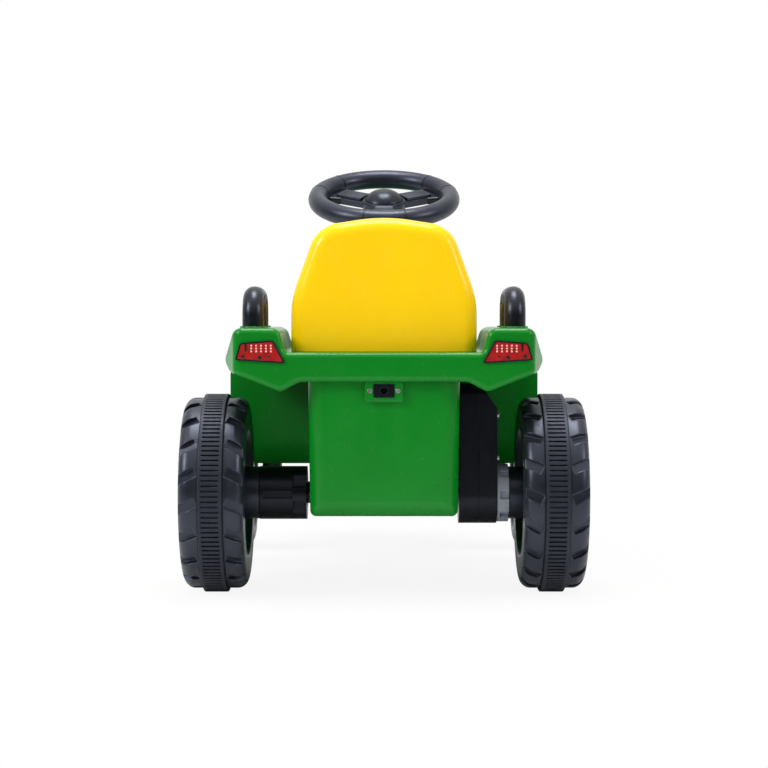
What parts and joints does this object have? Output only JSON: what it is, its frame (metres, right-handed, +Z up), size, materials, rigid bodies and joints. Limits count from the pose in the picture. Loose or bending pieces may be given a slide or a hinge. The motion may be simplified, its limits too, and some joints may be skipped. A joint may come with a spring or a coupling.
{
  "type": "ride on tractor toy",
  "caption": "Battery-driven ride-on tractor toy: moulded body and seat, grab handles, steered front wheels with tie rod, geared rear drive, sprung pedal and dashboard switches.",
  "frame": {"origin": "on the floor, under the middle of the whole toy", "axes": "+X to the rider's right, +Y forward, +Z up"},
  "size_m": [0.414, 0.6274, 0.4596],
  "materials": {
    "green_plastic": "glossy blow-moulded plastic",
    "yellow_plastic": "glossy moulded plastic",
    "wheel_plastic": "satin blow-moulded plastic",
    "belt_rubber": "moulded rubber traction strip",
    "black_plastic": "satin moulded plastic",
    "red_lens": "printed red lens",
    "lamp_lens": "pale moulded lens",
    "grey_nylon": "satin nylon",
    "gear_nylon": "satin nylon",
    "zinc_steel": "zinc-plated steel",
    "coated_steel": "black-coated steel"
  },
  "bodies": {
    "chassis": {"axle_nuts": "zinc_steel", "axle_spacer": "black_plastic", "battery": "black_plastic", "battery_strap": "zinc_steel", "body_screws": "zinc_steel", "bonnet": "green_plastic", "charging_socket": "black_plastic", "chassis_tub": "green_plastic", "column_bushes": "black_plastic", "dashboard": "black_plastic", "drive_motor": "zinc_steel", "front_axle_beam": "coated_steel", "front_bumper": "black_plastic", "front_grille": "black_plastic", "gear_shafts": "zinc_steel", "gearbox_inner_half": "black_plastic", "gearbox_outer_half": "black_plastic", "gearbox_screws": "zinc_steel", "grab_handle_left": "black_plastic", "grab_handle_right": "black_plastic", "headlamps": "lamp_lens", "pedal_switch": "black_plastic", "rear_axle": "zinc_steel", "rear_body": "green_plastic", "seat": "yellow_plastic", "socket_screws": "zinc_steel", "step_panel_left": "green_plastic", "step_panel_right": "green_plastic", "switch_bezel": "black_plastic", "tail_lamp_left": "red_lens", "tail_lamp_right": "red_lens"},
    "rear_wheel_left": {"rear_tyre_left": "wheel_plastic", "rear_belt_left": "belt_rubber", "rear_hubcap_left": "yellow_plastic"},
    "rear_wheel_right": {"rear_tyre_right": "wheel_plastic", "rear_belt_right": "belt_rubber", "rear_hubcap_right": "yellow_plastic", "output_gear": "gear_nylon", "drive_ring": "grey_nylon"},
    "second_gear": {"second_gear": "gear_nylon"},
    "first_gear": {"first_gear": "gear_nylon"},
    "motor_rotor": {"motor_pinion": "zinc_steel"},
    "steering": {"steering_wheel": "black_plastic", "steering_hub_cap": "black_plastic", "steering_column": "zinc_steel"},
    "knuckle_left": {"steering_knuckle_left": "coated_steel", "knuckle_nuts_left": "zinc_steel"},
    "knuckle_right": {"steering_knuckle_right": "coated_steel", "knuckle_nuts_right": "zinc_steel"},
    "front_wheel_left": {"front_tyre_left": "wheel_plastic", "front_belt_left": "belt_rubber", "front_hubcap_left": "yellow_plastic"},
    "front_wheel_right": {"front_tyre_right": "wheel_plastic", "front_belt_right": "belt_rubber", "front_hubcap_right": "yellow_plastic"},
    "tie_rod": {"tie_rod": "coated_steel"},
    "accelerator_pedal": {"accelerator_pedal": "black_plastic"},
    "power_rocker": {"power_rocker": "red_lens"},
    "direction_rocker": {"direction_rocker": "red_lens"},
    "horn_button": {"horn_button": "black_plastic"}
  },
  "joints": [
    {"name": "rear_wheel_left_spin", "type": "hinge", "parent": "chassis", "child": "rear_wheel_left", "pos_m": [-0.17, -0.21125, 0.1025], "axis": [1, 0, 0], "continuous": true},
    {"name": "rear_wheel_right_spin", "type": "hinge", "parent": "chassis", "child": "rear_wheel_right", "pos_m": [0.17, -0.21125, 0.1025], "axis": [1, 0, 0], "continuous": true},
    {"name": "second_gear_spin", "type": "hinge", "parent": "chassis", "child": "second_gear", "pos_m": [0.1, -0.21125, 0.131], "axis": [1, 0, 0], "continuous": true},
    {"name": "first_gear_spin", "type": "hinge", "parent": "chassis", "child": "first_gear", "pos_m": [0.09, -0.21125, 0.1576], "axis": [1, 0, 0], "continuous": true},
    {"name": "motor_spin", "type": "hinge", "parent": "chassis", "child": "motor_rotor", "pos_m": [0.085, -0.21125, 0.1842], "axis": [1, 0, 0], "continuous": true},
    {"name": "steering_turn", "type": "hinge", "parent": "chassis", "child": "steering", "pos_m": [0, 0.04375, 0.421], "axis": [0, -0.3584, 0.9336], "range_deg": [-25, 25]},
    {"name": "knuckle_left_pivot", "type": "hinge", "parent": "chassis", "child": "knuckle_left", "pos_m": [-0.138, 0.16875, 0.1], "axis": [0, 0, 1], "range_deg": [-25, 25]},
    {"name": "knuckle_right_pivot", "type": "hinge", "parent": "chassis", "child": "knuckle_right", "pos_m": [0.138, 0.16875, 0.1], "axis": [0, 0, 1], "range_deg": [-25, 25]},
    {"name": "tie_rod_pivot", "type": "hinge", "parent": "knuckle_left", "child": "tie_rod", "pos_m": [-0.138, 0.13875, 0.08], "axis": [0, 0, 1], "range_deg": [-25, 25]},
    {"name": "front_wheel_left_spin", "type": "hinge", "parent": "knuckle_left", "child": "front_wheel_left", "pos_m": [-0.183, 0.16875, 0.075], "axis": [1, 0, 0], "continuous": true},
    {"name": "front_wheel_right_spin", "type": "hinge", "parent": "knuckle_right", "child": "front_wheel_right", "pos_m": [0.183, 0.16875, 0.075], "axis": [1, 0, 0], "continuous": true},
    {"name": "pedal_press", "type": "hinge", "parent": "chassis", "child": "accelerator_pedal", "pos_m": [0.12, -0.01125, 0.1335], "axis": [-1, 0, 0], "range_deg": [0, 12], "stiffness_Nm_per_rad": 2, "springref_deg": -2.86},
    {"name": "power_rocker_tip", "type": "hinge", "parent": "chassis", "child": "power_rocker", "pos_m": [-0.036, 0.03475, 0.275], "axis": [1, 0, 0], "range_deg": [-8, 8]},
    {"name": "direction_rocker_tip", "type": "hinge", "parent": "chassis", "child": "direction_rocker", "pos_m": [0.036, 0.03475, 0.275], "axis": [1, 0, 0], "range_deg": [-8, 8]},
    {"name": "horn_press", "type": "slide", "parent": "chassis", "child": "horn_button", "axis": [0, 1, 0], "range_m": [0, 0.002], "stiffness_N_per_m": 600, "springref_m": -0.001}
  ],
  "couplings": [
    {"joint": "second_gear_spin", "follows": "rear_wheel_right_spin", "ratio": -3.2857},
    {"joint": "first_gear_spin", "follows": "rear_wheel_right_spin", "ratio": 9.8571},
    {"joint": "motor_spin", "follows": "rear_wheel_right_spin", "ratio": -29.571},
    {"joint": "knuckle_left_pivot", "follows": "steering_turn", "ratio": 1},
    {"joint": "knuckle_right_pivot", "follows": "steering_turn", "ratio": 1},
    {"joint": "tie_rod_pivot", "follows": "steering_turn", "ratio": -1}
  ]
}
